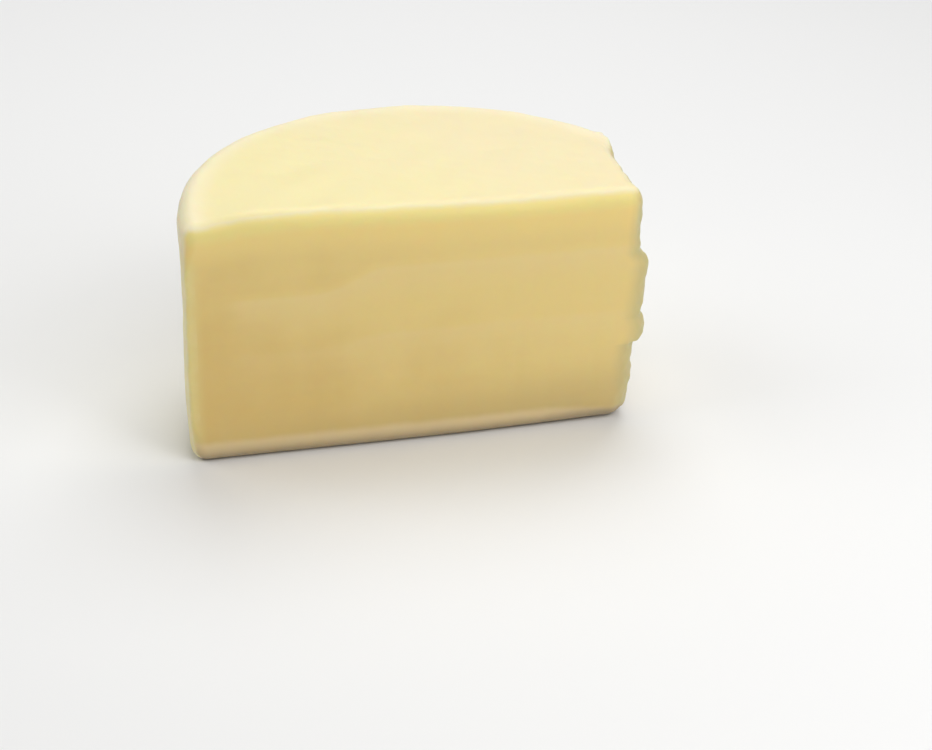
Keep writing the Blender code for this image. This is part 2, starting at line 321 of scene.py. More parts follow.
class CheeseFinish(PropertyGroup):
    """Colours and gloss of the cheese."""

    rind_color: FloatVectorProperty(
        name="Rind", description="Pale waxy rind, lemon on the left", subtype="COLOR", size=4,
        default=(0.882, 0.786, 0.428, 1.0), min=0.0, max=1.0)
    rind_blush: FloatVectorProperty(
        name="Rind blush", description="Peach tint of the rind on the right and at the back",
        subtype="COLOR", size=4, default=(0.868, 0.757, 0.475, 1.0), min=0.0, max=1.0)
    # Painted highlight: the whiter rind edge stands in for the light's sheen on the rounded rim
    rim_color: FloatVectorProperty(
        name="Rind edge", description="Whiter edge of the rind along the cuts",
        subtype="COLOR", size=4, default=(0.885, 0.800, 0.540, 1.0), min=0.0, max=1.0)
    # Painted light: the whitest rind on the rounding where the wall turns into the top
    crown_light_color: FloatVectorProperty(
        name="Rind crown", description="Whitest rind, where the wall turns into the top",
        subtype="COLOR", size=4, default=(0.925, 0.845, 0.600, 1.0), min=0.0, max=1.0)
    paste_color: FloatVectorProperty(
        name="Paste", description="Butter yellow paste of the cut faces", subtype="COLOR", size=4,
        default=(0.876, 0.685, 0.278, 1.0), min=0.0, max=1.0)
    # Darker clouds in the paste, and also painted shade deepening the paste towards the lower
    # left
    paste_deep_and_shade: FloatVectorProperty(
        name="Deep paste", description="Darker clouds in the paste", subtype="COLOR", size=4,
        default=(0.790, 0.575, 0.215, 1.0), min=0.0, max=1.0)
    # Painted light: the paler band just under a ledge, where its step faces up into the light
    paste_ledge_light: FloatVectorProperty(
        name="Pale paste", description="Paler paste just under a ledge", subtype="COLOR",
        size=4, default=(0.880, 0.700, 0.345, 1.0), min=0.0, max=1.0)
    # Painted shade: the paste darkened near the foot
    paste_foot_shade: FloatVectorProperty(
        name="Foot shade paste", description="Darker paste near the foot", subtype="COLOR", size=4,
        default=(0.700, 0.535, 0.230, 1.0), min=0.0, max=1.0)
    # Painted light: brighter paste below the top rim, standing in for the top light glowing
    # through the cheese
    paste_glow_light: FloatVectorProperty(
        name="Warm paste", description="Brighter paste below the top rim", subtype="COLOR",
        size=4, default=(0.930, 0.725, 0.282, 1.0), min=0.0, max=1.0)
    # Painted light: the lemon band just below the top rim, part of the same painted glow
    paste_glow_lemon: FloatVectorProperty(
        name="Outer paste", description="Lemon paste just below the top rim",
        subtype="COLOR", size=4, default=(0.925, 0.785, 0.315, 1.0), min=0.0, max=1.0)
    paste_wall: FloatVectorProperty(
        name="Wall paste", description="Greener paste beside the wall's rind",
        subtype="COLOR", size=4, default=(0.830, 0.720, 0.310, 1.0), min=0.0, max=1.0)
    foot_color: FloatVectorProperty(
        name="Foot edge", description="Thin pale edge of the rind below the base",
        subtype="COLOR", size=4, default=(0.830, 0.660, 0.370, 1.0), min=0.0, max=1.0)
    # Painted shade: the foot edge darkened where it rolls under
    under_shade_color: FloatVectorProperty(
        name="Under edge", description="Foot edge where it rolls under", subtype="COLOR",
        size=4, default=(0.470, 0.370, 0.230, 1.0), min=0.0, max=1.0)
    # Partly the torn curd's own colour, partly painted shade on the rounded edges of the sliced
    # end
    torn_and_shade_color: FloatVectorProperty(
        name="Torn curd", description="Curd of the sliced end", subtype="COLOR", size=4,
        default=(0.600, 0.530, 0.268, 1.0), min=0.0, max=1.0)
    rind_roughness: FloatProperty(
        name="Rind roughness", description="How dull the rind is", subtype="FACTOR",
        default=0.52, min=0.0, max=1.0)
    paste_roughness: FloatProperty(
        name="Paste roughness", description="How dull the cut faces are", subtype="FACTOR",
        default=0.46, min=0.0, max=1.0)
    glow: FloatProperty(
        name="Glow", description="Share of the light that spreads inside the cheese",
        subtype="FACTOR", default=0.5, min=0.0, max=1.0)
    glow_depth: FloatProperty(
        name="Glow depth", description="How far red light spreads inside the cheese",
        default=0.006, min=0.0, max=0.05, unit="LENGTH", precision=4)


class StudioSettings(PropertyGroup):
    """Floor, lights and camera."""

    floor_color: FloatVectorProperty(
        name="Floor", description="Plain pale floor", subtype="COLOR", size=4,
        default=(0.88, 0.88, 0.875, 1.0), min=0.0, max=1.0)
    key_power: FloatProperty(
        name="Key light", description="Wide soft light from high in front",
        default=5.5, min=0.0, max=500.0, unit="POWER")
    back_power: FloatProperty(
        name="Back light", description="Wide soft light above and behind",
        default=8.9, min=0.0, max=500.0, unit="POWER")
    side_power: FloatProperty(
        name="Side light", description="Soft light from high on the left",
        default=3.3, min=0.0, max=500.0, unit="POWER")
    fill_power: FloatProperty(
        name="Fill light", description="Weak near light from the front right",
        default=1.8, min=0.0, max=500.0, unit="POWER")
    air_strength: FloatProperty(
        name="Air", description="Brightness of the even light all round",
        default=0.13, min=0.0, max=5.0)
    camera_place: FloatVectorProperty(
        name="Camera", description="Where the camera stands, from the middle of the base",
        subtype="TRANSLATION", default=(-0.2273, -0.8617, 0.4811), precision=4)
    camera_yaw: FloatProperty(
        name="Yaw", description="How far the camera turns to the right of +Y",
        subtype="ANGLE", default=math.radians(16.84))
    camera_pitch: FloatProperty(
        name="Pitch", description="How far the camera looks down",
        subtype="ANGLE", default=math.radians(28.17))
    camera_roll: FloatProperty(
        name="Roll", description="How far the camera leans to the left",
        subtype="ANGLE", default=math.radians(2.45))
    camera_lens: FloatProperty(
        name="Lens", description="Focal length on a sensor 36 mm wide",
        default=96.39, min=10.0, max=300.0, unit="CAMERA")


# ---------------------------------------------------------------- shape


def smooth_step(value, start, end):
    """0 before start, 1 after end and a smooth S between them."""
    t = np.clip((value - start) / (end - start), 0.0, 1.0)
    return t * t * (3.0 - 2.0 * t)


def bell(value, middle, half_width):
    """Bell curve of height 1: e to the minus square of the distance in half widths."""
    return np.exp(-((value - middle) / half_width) ** 2)


def wall_radius(sizes, angle, z):
    """Radius of the rind wall: drafted, tucked in at the foot, swollen below the rim, oval."""
    draft = WALL_DRAFT * (1.0 - z / sizes.wheel_height)
    tuck = FOOT_TUCK * np.exp(-z / FOOT_TUCK_HEIGHT)
    swell = RIM_SWELL * bell(z, RIM_SWELL_Z, RIM_SWELL_HEIGHT)
    wobble = WALL_WOBBLE * np.sin(WOBBLES_ROUND * angle + WOBBLE_LEAN * z)
    oval = OVALITY * np.cos(2.0 * (angle - OVAL_ALONG))
    return sizes.wheel_radius - draft - tuck + swell + wobble + oval


def top_height(sizes, x, y):
    """Height of the top: tilted, with a hump, a dip and one slumped corner."""
    waves = HUMP * bell(x, HUMP_X, HUMP_LENGTH) - DIP * bell(x, DIP_X, DIP_LENGTH)
    left = smooth_step(-x, sizes.wheel_radius - SLUMP_LENGTH, sizes.wheel_radius)
    front = 1.0 - smooth_step(y, 0.0, SLUMP_DEPTH)
    level = sizes.wheel_height - TOP_FALL * x + waves * bell(y, 0.0, TOP_FADE_Y)
    return level - CORNER_SLUMP * left * front


def ledge(depth):
    """Share of a ledge's step at a depth below its line.

    It is minus a half just above the line and a half just below, and dies away both ways.
    """
    step = smooth_step(depth, -0.5 * LEDGE_SLOPE, 0.5 * LEDGE_SLOPE) - 0.5
    return step * np.exp(-np.abs(depth) / LEDGE_FADE)


def all_ledges(x, z):
    """Sum of the ledges' shares at each place of the cut face."""
    lifted = smooth_step(x, LIFT_FROM, LIFT_TO)
    total = 0.0
    for left_z, right_z, left_share, right_share in LEDGES:
        depth = left_z + (right_z - left_z) * lifted - z
        total = total + (left_share + (right_share - left_share) * lifted) * ledge(depth)
    return total


def cut_face_y(sizes, x, z):
    """Where the cut face lies: stepped by ledges, its rim and its lower right fallen back."""
    roll = np.exp(-np.clip(sizes.wheel_height - z, 0.0, None) / RIM_ROLL_HEIGHT)
    right = np.clip(x / sizes.end_slice_x, 0.0, 1.0) ** 2
    low = np.clip(1.0 - z / sizes.wheel_height, 0.0, 1.0) ** 2
    return FALL_BACK * right * low + RIM_ROLL * roll - LEDGE * all_ledges(x, z)


def terrace(y, z):
    """Step that stands out below a line which climbs to the top rim near the back."""
    climb = smooth_step(y, CLIMB_START, CLIMB_END)
    widening = smooth_step(y, 0.0, CLIMB_END)
    half_slope = 0.5 * (TERRACE_SLOPE + (TERRACE_SLOPE_BACK - TERRACE_SLOPE) * widening)
    depth = TERRACE_Z + TERRACE_CLIMB * climb - z
    step = smooth_step(depth, -half_slope, half_slope)
    taper = 1.0 - TERRACE_TAPER * np.clip(depth / (TERRACE_Z - BEAD_Z - BEAD_HALF), 0.0, 1.0)
    above_bead = (z - BEAD_Z - BEAD_CLIMB * y) / BEAD_HALF
    return TERRACE * step * taper * smooth_step(above_bead, GROOVE_FROM, 1.0)


def bead(y, z):
    """Rounded bead with a steep underside: a squared ellipse in section."""
    offset = np.abs(z - BEAD_Z - BEAD_CLIMB * y) / BEAD_HALF
    return BEAD * np.clip(1.0 - offset ** BEAD_POWER, 0.0, 1.0) ** (1.0 / BEAD_POWER)


def end_slice_x(sizes, y, z):
    """Where the end slice lies: its plane, terrace and bead, wavy, its top rim notched."""
    to_back = smooth_step(y, 0.0, CLIMB_END)
    steps = np.maximum(terrace(y, z), bead(y, z)) * (1.0 - BACK_LOSS * to_back)
    wobble = SLICE_WOBBLE * np.sin(SLICE_WAVE_Y * y + SLICE_WAVE_Z * z)
    near_top = smooth_step(z, SLICE_FLARE_Z, sizes.wheel_height)
    flare = SLICE_FLARE * (1.0 - smooth_step(y, 0.0, SLICE_FLARE_Y))
    notches = sum(depth * bell(y, place, NOTCH_HALF) for place, depth in NOTCHES)
    return sizes.end_slice_x + steps + wobble + (flare - notches) * near_top


def edge_radius(sizes, x, y, z):
    """Rounding between neighbouring faces, blended from base to side to top."""
    right = smooth_step(x, 0.0, sizes.end_slice_x)
    side_edge = sizes.left_edge + (sizes.right_edge - sizes.left_edge) * right
    base_edge = BASE_EDGE_LEFT + (BASE_EDGE_RIGHT - BASE_EDGE_LEFT) * right
    near_base = 1.0 - smooth_step(z, EDGE_FULL, EDGE_REACH)
    below_top = sizes.wheel_height - z
    near_top = 1.0 - smooth_step(below_top, EDGE_FULL, EDGE_REACH)
    radius = (side_edge + (base_edge - side_edge) * near_base
              + (sizes.top_edge - side_edge) * near_top)
    at_end = smooth_step(x, BACK_CORNER_FROM, BACK_CORNER_TO)
    at_back = smooth_step(y, CLIMB_START, CLIMB_END)
    return radius + (BACK_CORNER_EDGE - radius) * at_end * at_back


def past_faces(sizes, points):
    """How far each point lies past each of the five faces, and the edge radius there."""
    x, y, z = points.T
    behind_axis = y - sizes.axis_behind_cut
    angle = np.arctan2(behind_axis, x)
    past = np.empty((5, len(points)))
    past[TOP] = z - top_height(sizes, x, y)
    past[BASE] = -z
    past[WALL] = np.hypot(x, behind_axis) - wall_radius(sizes, angle, z)
    past[CUT] = cut_face_y(sizes, x, z) - y
    past[END] = x - end_slice_x(sizes, y, z)
    return past, edge_radius(sizes, x, y, z)


def outside(sizes, points):
    """Distance outside the block: the rounded maximum of the distances past its faces.

    The edge radius is added to each distance, negative sums count as nothing, and the root
    of the sum of squares less the radius is the result.
    """
    past, radius = past_faces(sizes, points)
    rounded = np.sqrt((np.clip(past + radius, 0.0, None) ** 2).sum(axis=0)) - radius
    return np.where(rounded > -radius, rounded, past.max(axis=0))


def face_shares(sizes, points):
    """Share of each face in each point's roundness: 1 on a face, passing at the edges."""
    past, radius = past_faces(sizes, points)
    squares = np.clip(past + radius, 0.0, None) ** 2
    return squares / squares.sum(axis=0)


def skin_depth(sizes, points):
    """Depths inside the rind, inside its edge at the foot, below the top and beside the wall.

    The first two are above 0 inside and below 0 outside. The rind is what is near enough to
    the top, or to the wall and clear of both cuts. The last two are 0 where the top or the
    wall meets a cut, and below 0 further in.
    """
    past, radius = past_faces(sizes, points)
    x, _, z = points.T
    further_left = smooth_step(-x, RIM_SKIN_LEFT_FROM, RIM_SKIN_LEFT_TO)
    top = past[TOP] + RIM_SKIN + RIM_SKIN_LEFT * further_left
    clear_of_cuts = -np.maximum(past[CUT], past[END]) - WALL_SKIN * radius
    rind = np.maximum(top, np.minimum(clear_of_cuts, past[WALL] + SKIN_LIMIT))
    further_right = smooth_step(x, FOOT_SKIN_LOSS_FROM, FOOT_SKIN_LOSS_TO)
    foot = FOOT_SKIN - FOOT_SKIN_LOSS * further_right - z
    return (np.clip(rind, -SKIN_LIMIT, SKIN_LIMIT), np.clip(foot, -SKIN_LIMIT, SKIN_LIMIT),
            np.clip(top, -SKIN_FAR, 0.0), np.clip(past[WALL], -SKIN_FAR, 0.0))


def dryness(sizes, points):
    """How dry the sliced end is: fully round its edges, a little inside, not at all elsewhere.
    The material also paints shade on the end's rounded edges by it.
    """
    past, _ = past_faces(sizes, points)
    low = 1.0 - smooth_step(points[:, 2], TERRACE_Z - TERRACE_SLOPE, TERRACE_Z + TERRACE_SLOPE)
    reach = DRIED_EDGE + (DRIED_EDGE_LOW - DRIED_EDGE) * low
    near_end = smooth_step(past[END], -reach, -DRIED_EDGE_FULL)
    past_others = np.max(past[[TOP, WALL, CUT]], axis=0)
    near_edges = smooth_step(past_others, -DRIED_RIM, -DRIED_RIM_FULL)
    return near_end * (DRIED_INSIDE + (1.0 - DRIED_INSIDE) * near_edges)


def outward(sizes, points):
    """Unit normals of the form, by differences of its distance."""
    slopes = []
    for step in np.eye(3) * GRADIENT_STEP:
        slopes.append(outside(sizes, points + step) - outside(sizes, points - step))
    normals = np.stack(slopes, axis=1)
    return normals / np.linalg.norm(normals, axis=1, keepdims=True)


def crowded(count):
    """Fractions from 0 up to but not 1, closer together near both ends."""
    t = np.arange(count) / count
    return t - CROWDING * np.sin(2.0 * math.pi * t) / (2.0 * math.pi)


def sharp_plan(sizes):
    """Outline of the sharp prism: the cut face, the end slice, then the round wall."""
    radius, axis, end = sizes.wheel_radius, sizes.axis_behind_cut, sizes.end_slice_x
    corner_y = axis + math.sqrt(radius ** 2 - end ** 2)
    start = math.atan2(corner_y - axis, end)
    finish = math.pi + math.asin(axis / radius)
    left = radius * math.cos(finish)
    angles = start + (finish - start) * crowded(COLUMNS_ROUND)
    front = np.stack([left + (end - left) * crowded(COLUMNS_FRONT), np.zeros(COLUMNS_FRONT)])
    side = np.stack([np.full(COLUMNS_END, end), corner_y * crowded(COLUMNS_END)])
    wall = np.stack([radius * np.cos(angles), axis + radius * np.sin(angles)])
    return np.concatenate([front, side, wall], axis=1).T


def wall_heights(sizes):
    """Heights of the rows up the wall, closer at the rims and at the end slice's steps."""
    z = np.linspace(0.0, sizes.wheel_height, HEIGHT_SAMPLES)
    edges = (0.0, BEAD_Z - BEAD_HALF, BEAD_Z + BEAD_HALF, TERRACE_Z, sizes.wheel_height)
    density = 1.0 + EXTRA_ROWS * sum(bell(z, edge, EXTRA_ROWS_REACH) for edge in edges)
    passed = np.cumsum(density) - density[0]
    return np.interp(np.linspace(0.0, passed[-1], ROWS_WALL + 1), passed, z)


def wrapped_grid(sizes):
    """Rows of points round the sharp prism, from the middle of the base to that of the top.

    A ring on base or top is the plan shrunk to the middle by the sine of its number, so
    the rings close up towards the rim.
    """
    plan = sharp_plan(sizes)
    inner = np.sin(0.5 * math.pi * np.arange(1, RINGS_CAP) / RINGS_CAP)
    share = np.concatenate([inner, np.ones(ROWS_WALL + 1), inner[::-1]])
    height = np.concatenate([np.zeros(RINGS_CAP - 1), wall_heights(sizes),
                             np.full(RINGS_CAP - 1, sizes.wheel_height)])
    middle = BLOCK_MIDDLE[:2]
    flat = middle + (plan - middle) * share[:, None, None]
    at_end = smooth_step(flat[:, :, 0], sizes.end_slice_x - LEAN_REACH, sizes.end_slice_x)
    lean = BEAD_CLIMB * flat[:, :, 1] * at_end * bell(height, BEAD_Z, LEAN_REACH)[:, None]
    rows = np.dstack([flat, height[:, None] + lean])
    poles = np.array([[*middle, 0.0], [*middle, sizes.wheel_height]])
    return np.concatenate([poles[:1], rows.reshape(-1, 3), poles[1:]]), rows.shape[:2]


def grid_faces(rows, columns):
    """Quads of a grid closed round its columns, and a fan of triangles at each pole."""
    first = 1 + np.arange(rows - 1)[:, None] * columns
    here, after = np.arange(columns), np.roll(np.arange(columns), -1)
    quads = np.stack([first + here, first + after, first + columns + after,
                      first + columns + here], axis=2).reshape(-1, 4)
    last = 1 + (rows - 1) * columns
    base = np.stack([np.zeros(columns, int), 1 + after, 1 + here], axis=1)
    top = np.stack([np.full(columns, last + columns), last + here, last + after], axis=1)
    return quads.tolist() + base.tolist() + top.tolist()


def cast_on_block(sizes, targets):
    """Move each point along the line from the block's middle onto the soft form."""
    lines = targets - BLOCK_MIDDLE
    near = np.full(len(targets), CAST_FROM)
    far = np.full(len(targets), CAST_TO)
    for _ in range(CAST_STEPS):
        trial = 0.5 * (near + far)
        is_out = outside(sizes, BLOCK_MIDDLE + lines * trial[:, None]) > 0.0
        far = np.where(is_out, trial, far)
        near = np.where(is_out, near, trial)
    return BLOCK_MIDDLE + lines * near[:, None]


# ---------------------------------------------------------------- fine relief


def ripples(points, length, seed, stretch):
    """Smooth random relief of unit spread.

    It is the sum of cosine waves, all about one length long, in random directions. A stretch
    of more than 1 draws the waves out along that axis.
    """
    draw = np.random.default_rng(seed)
    directions = draw.normal(size=(WAVES_IN_SET, 3))
    directions /= np.linalg.norm(directions, axis=1, keepdims=True)
    lengths = length * draw.uniform(SHORTEST_WAVE, LONGEST_WAVE, WAVES_IN_SET)
    phases = draw.uniform(0.0, 2.0 * math.pi, WAVES_IN_SET)
    turns = directions * (2.0 * math.pi / lengths)[:, None] / np.array(stretch)
    return np.cos(points @ turns.T + phases).sum(axis=1) * math.sqrt(2.0 / WAVES_IN_SET)


def layered(points, wave_sets):
    """Sum of several sets of ripples, each by its share."""
    return sum(share * ripples(points, length, seed, stretch)
               for length, seed, stretch, share in wave_sets)


def rind_relief(sizes, points):
    """Soft swells and small waves of the rind, with three shallow dimples in the top."""
    dimples = sum(bell(np.hypot(points[:, 0] - x, points[:, 1] - y), 0.0, DIMPLE_HALF)
                  for x, y in DIMPLES)
    return sizes.rind_relief * layered(points, RIND_WAVES) - DIMPLE * dimples


def curd_relief(sizes, points):
    """Level layers of curd and upright marks of the knife on the cut face."""
    return sizes.curd_relief * layered(points, CURD_WAVES)


def torn_relief(sizes, points):
    """Rough curd of the end slice: fibres drawn out from front to back, and lumps."""
    return sizes.torn_relief * layered(points, TORN_WAVES)


def crumble(sizes, points):
    """Crumbs and chips of the sliced end, mostly along its edges."""
    return sizes.crumble * (layered(points, CRUMB_WAVES) - CRUMB_SINK)


def block_points(sizes):
    """Smooth points of the block, the same with relief, and each one's shares of the faces."""
    targets, shape = wrapped_grid(sizes)
    points = cast_on_block(sizes, targets)
    shares = face_shares(sizes, points)
    rise = ((shares[TOP] + shares[WALL]) * rind_relief(sizes, points)
            + shares[CUT] * curd_relief(sizes, points)
            + shares[END] * torn_relief(sizes, points)
            + dryness(sizes, points) * crumble(sizes, points))
    moved = points + outward(sizes, points) * rise[:, None]
    moved[:, 2] = np.clip(moved[:, 2], 0.0, None)
    return points, moved, shares, shape


def frame_shift(points):
    """Shift that puts the middle of the smooth form's box over that of the solid's box."""
    low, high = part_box(NODE)
    shift = 0.5 * (np.array(low + high) - points.min(axis=0) - points.max(axis=0))
    return np.array([shift[0], shift[1], 0.0])


def put_attribute(mesh, name, values):
    """Store one number for each point of the mesh."""
    attribute = mesh.attributes.new(name, "FLOAT", "POINT")
    attribute.data.foreach_set("value", values.astype(np.float32))


def half_wheel_object(sizes):
    """The half wheel as one closed mesh, with the marks that its material reads.

    The marks are depths inside the rind, inside its foot edge, below the top and beside the
    wall, the share of torn curd, the share of dry curd, which also places painted shade on the
    sliced end's edges, and the ledges' step on the cut face, which places their painted light and
    shade.
    """
    smooth, moved, shares, (rows, columns) = block_points(sizes)
    mesh = bpy.data.meshes.new(PIECE)
    mesh.from_pydata((moved + frame_shift(smooth)).tolist(), [], grid_faces(rows, columns))
    mesh.shade_smooth()
    for name, values in zip(("rind", "foot", "below", "beside"), skin_depth(sizes, smooth)):
        put_attribute(mesh, name, values)
    put_attribute(mesh, "torn", shares[END])
    # Dry curd, which also places painted shade on the sliced end's rounded edges
    put_attribute(mesh, "dried", dryness(sizes, smooth))
    # The ledges' step places painted light under each ledge and painted shade above it
    tinted = shares[CUT] * smooth_step(smooth[:, 0], LEDGE_SHADING_FROM, LEDGE_SHADING_TO)
    put_attribute(mesh, "layer", tinted * all_ledges(smooth[:, 0], smooth[:, 2]))
    mesh.validate()
    block = bpy.data.objects.new(PIECE, mesh)
    bpy.context.scene.collection.objects.link(block)
    return block


# ---------------------------------------------------------------- materials


def named_socket(sockets, name):
    """The socket of that identifier, or else of that name."""
    for socket in sockets:
        if socket.identifier == name:
            return socket
    return sockets[name]


def add_node(tree, kind, place, inputs=None, **settings):
    """New node at a column and row. An input is a value, or an output to link from."""
    made = tree.nodes.new(kind)
    made.location = (place[0] * COLUMN_WIDTH, -place[1] * ROW_HEIGHT)
    for name, value in settings.items():
        setattr(made, name, value)
    for name, value in (inputs or {}).items():
        socket = named_socket(made.inputs, name)
        if isinstance(value, bpy.types.NodeSocket):
            tree.links.new(value, socket)
        else:
            socket.default_value = value
    return made


def use_group(tree, group, place, inputs):
    """Place a node group and give back its first output."""
    return add_node(tree, "ShaderNodeGroup", place, inputs, node_tree=group).outputs[0]


def mix_colors(tree, place, share, first, second):
    """Colour between first and second by share."""
    inputs = {"Factor_Float": share, "A_Color": first, "B_Color": second}
    mix = add_node(tree, "ShaderNodeMix", place, inputs, data_type="RGBA")
    return named_socket(mix.outputs, "Result_Color")


def remap(tree, place, value, start, end, low=0.0, high=1.0):
    """Value carried from start..end to low..high along a smooth S."""
    inputs = {"Value": value, "From Min": start, "From Max": end, "To Min": low, "To Max": high}
    made = add_node(tree, "ShaderNodeMapRange", place, inputs, interpolation_type="SMOOTHSTEP")
    return made.outputs["Result"]


def sway(tree, place, value, reach):
    """Value carried from 0..1 to minus reach..reach along a smooth S."""
    return remap(tree, place, value, 0.0, 1.0, -reach, reach)


def math_node(tree, place, operation, first, second):
    """Result of one sum on two values."""
    inputs = {"Value": first, "Value_001": second}
    return add_node(tree, "ShaderNodeMath", place, inputs, operation=operation).outputs["Value"]


def vector_node(tree, place, operation, first, second):
    """The node of one sum on two vectors."""
    inputs = {"Vector": first, "Vector_001": second}
    return add_node(tree, "ShaderNodeVectorMath", place, inputs, operation=operation)


def new_group(name, inputs, outputs):
    """Empty node group with named sockets; each is a name with its type and default."""
    group = bpy.data.node_groups.new(name, "ShaderNodeTree")
    for in_out, sockets in (("INPUT", inputs), ("OUTPUT", outputs)):
        for socket_name, kind, default in sockets:
            socket = group.interface.new_socket(
                name=socket_name, in_out=in_out, socket_type=kind)
            if default is not None:
                socket.default_value = default
    start = add_node(group, "NodeGroupInput", (0, 0)).outputs
    end = add_node(group, "NodeGroupOutput", (8, 0)).inputs
    return group, start, end


def clouds_group():
    """Soft clouds: noise of one size, drawn out by Stretch; a low Contrast makes them sharp."""
    group, start, end = new_group(
        "Curd Clouds",
        [("Vector", "NodeSocketVector", None), ("Size", "NodeSocketFloat", 0.02),
         ("Stretch", "NodeSocketVector", (1.0, 1.0, 1.0)),
         ("Contrast", "NodeSocketFloat", 0.3)],
        [("Mask", "NodeSocketFloat", None)])
    drawn = vector_node(group, (1, 0), "DIVIDE", start["Vector"], start["Stretch"])
    scale = math_node(group, (1, 1), "DIVIDE", 1.0, start["Size"])
    noise = add_node(group, "ShaderNodeTexNoise", (2, 0),
                     {"Vector": drawn.outputs["Vector"], "Scale": scale, "Detail": 2.5,
                      "Roughness": 0.5})
    low = math_node(group, (3, 1), "SUBTRACT", 0.5, start["Contrast"])
    high = math_node(group, (3, 2), "ADD", 0.5, start["Contrast"])
    mask = remap(group, (5, 0), noise.outputs["Fac"], low, high)
    group.links.new(mask, end["Mask"])
    return group


def drift_group(clouds):
    """Slow drift from 0 to 1 along a direction, its front pushed about by soft clouds."""
    group, start, end = new_group(
        "Slow Drift",
        [("Vector", "NodeSocketVector", None), ("Direction", "NodeSocketVector", (1.0, 0.0, 0.0)),
         ("Start", "NodeSocketFloat", -0.05), ("End", "NodeSocketFloat", 0.05),
         ("Size", "NodeSocketFloat", 0.05), ("Uneven", "NodeSocketFloat", 0.03)],
        [("Mask", "NodeSocketFloat", None)])
    along = vector_node(group, (1, 0), "DOT_PRODUCT", start["Vector"], start["Direction"])
    push = use_group(group, clouds, (1, 2), {
        "Vector": start["Vector"], "Size": start["Size"], "Contrast": 0.4})
    push = math_node(group, (3, 2), "SUBTRACT", push, 0.5)
    push = math_node(group, (4, 2), "MULTIPLY", push, start["Uneven"])
    moved = math_node(group, (5, 0), "ADD", along.outputs["Value"], push)
    mask = remap(group, (6, 0), moved, start["Start"], start["End"])
    group.links.new(mask, end["Mask"])
    return group


def pits_group():
    """Small round pits, in a share of the cells of a pattern of cells of one size."""
    group, start, end = new_group(
        "Rind Pits",
        [("Vector", "NodeSocketVector", None), ("Size", "NodeSocketFloat", 0.004),
         ("Share", "NodeSocketFloat", 0.3)],
        [("Depth", "NodeSocketFloat", None)])
    scale = math_node(group, (1, 1), "DIVIDE", 1.0, start["Size"])
    cells = add_node(group, "ShaderNodeTexVoronoi", (2, 0),
                     {"Vector": start["Vector"], "Scale": scale, "Randomness": 1.0})
    dent = remap(group, (4, 0), cells.outputs["Distance"], 0.0, PIT_REACH, 1.0, 0.0)
    red = add_node(group, "ShaderNodeSeparateColor", (4, 1), {"Color": cells.outputs["Color"]})
    chosen = math_node(group, (5, 1), "LESS_THAN", red.outputs["Red"], start["Share"])
    depth = math_node(group, (6, 0), "MULTIPLY", dent, chosen)
    group.links.new(depth, end["Depth"])
    return group


def rind_tint(tree, finish, place, drift, rind, marks):
    """Colour of the rind: lemon, peach to the right and back, with a painted highlight along its
    edges.

    Painted light makes it whitest round the crown, where depth below the top and depth from the
    wall are small.
    """
    blush = use_group(tree, drift, (0, -5), {
        "Vector": place, "Direction": (0.80, 0.60, 0.0), "Start": -0.060, "End": 0.080,
        "Size": 0.045, "Uneven": 0.070})
    color = mix_colors(tree, (2, -5), blush, tuple(finish.rind_color), tuple(finish.rind_blush))
    # Painted highlight along the rind's edge
    near = remap(tree, (2, -4), rind, *RIM_FADE_IN, 0.0, RIM_HIGHLIGHT_SHARE)
    inside = remap(tree, (2, -3), rind, *RIM_FADE_OUT)
    rim = math_node(tree, (3, -4), "MULTIPLY", near, inside)
    color = mix_colors(tree, (4, -5), rim, color, tuple(finish.rim_color))
    # Painted light round the crown
    depth = math_node(tree, (4, -4), "ADD", marks["below"], marks["beside"])
    crown = remap(tree, (5, -4), depth, *CROWN_FADE, 0.0, CROWN_LIGHT_SHARE)
    return mix_colors(tree, (6, -5), crown, color, tuple(finish.crown_light_color))


def foot_tint(tree, finish, spot):
    """Colour of the rind's edge at the foot, with painted shade where it rolls under but not
    below.

    It rolls under higher up near the sliced end, so the painted shade starts higher there.
    """
    climb = remap(tree, (1, 9), spot["X"], UNDER_CLIMB_FROM, UNDER_CLIMB_TO, 0.0, UNDER_CLIMB)
    height = math_node(tree, (2, 9), "SUBTRACT", spot["Z"], climb)
    # Painted shade where the foot edge rolls under
    dark = remap(tree, (3, 9), height, *UNDER_SHADE_FADE)
    rolled = remap(tree, (3, 10), spot["Z"], 0.0, UNDER_ROLLED)
    under = math_node(tree, (4, 9), "MULTIPLY", dark, rolled)
    return mix_colors(tree, (5, 9), under, tuple(finish.foot_color), tuple(finish.under_shade_color))


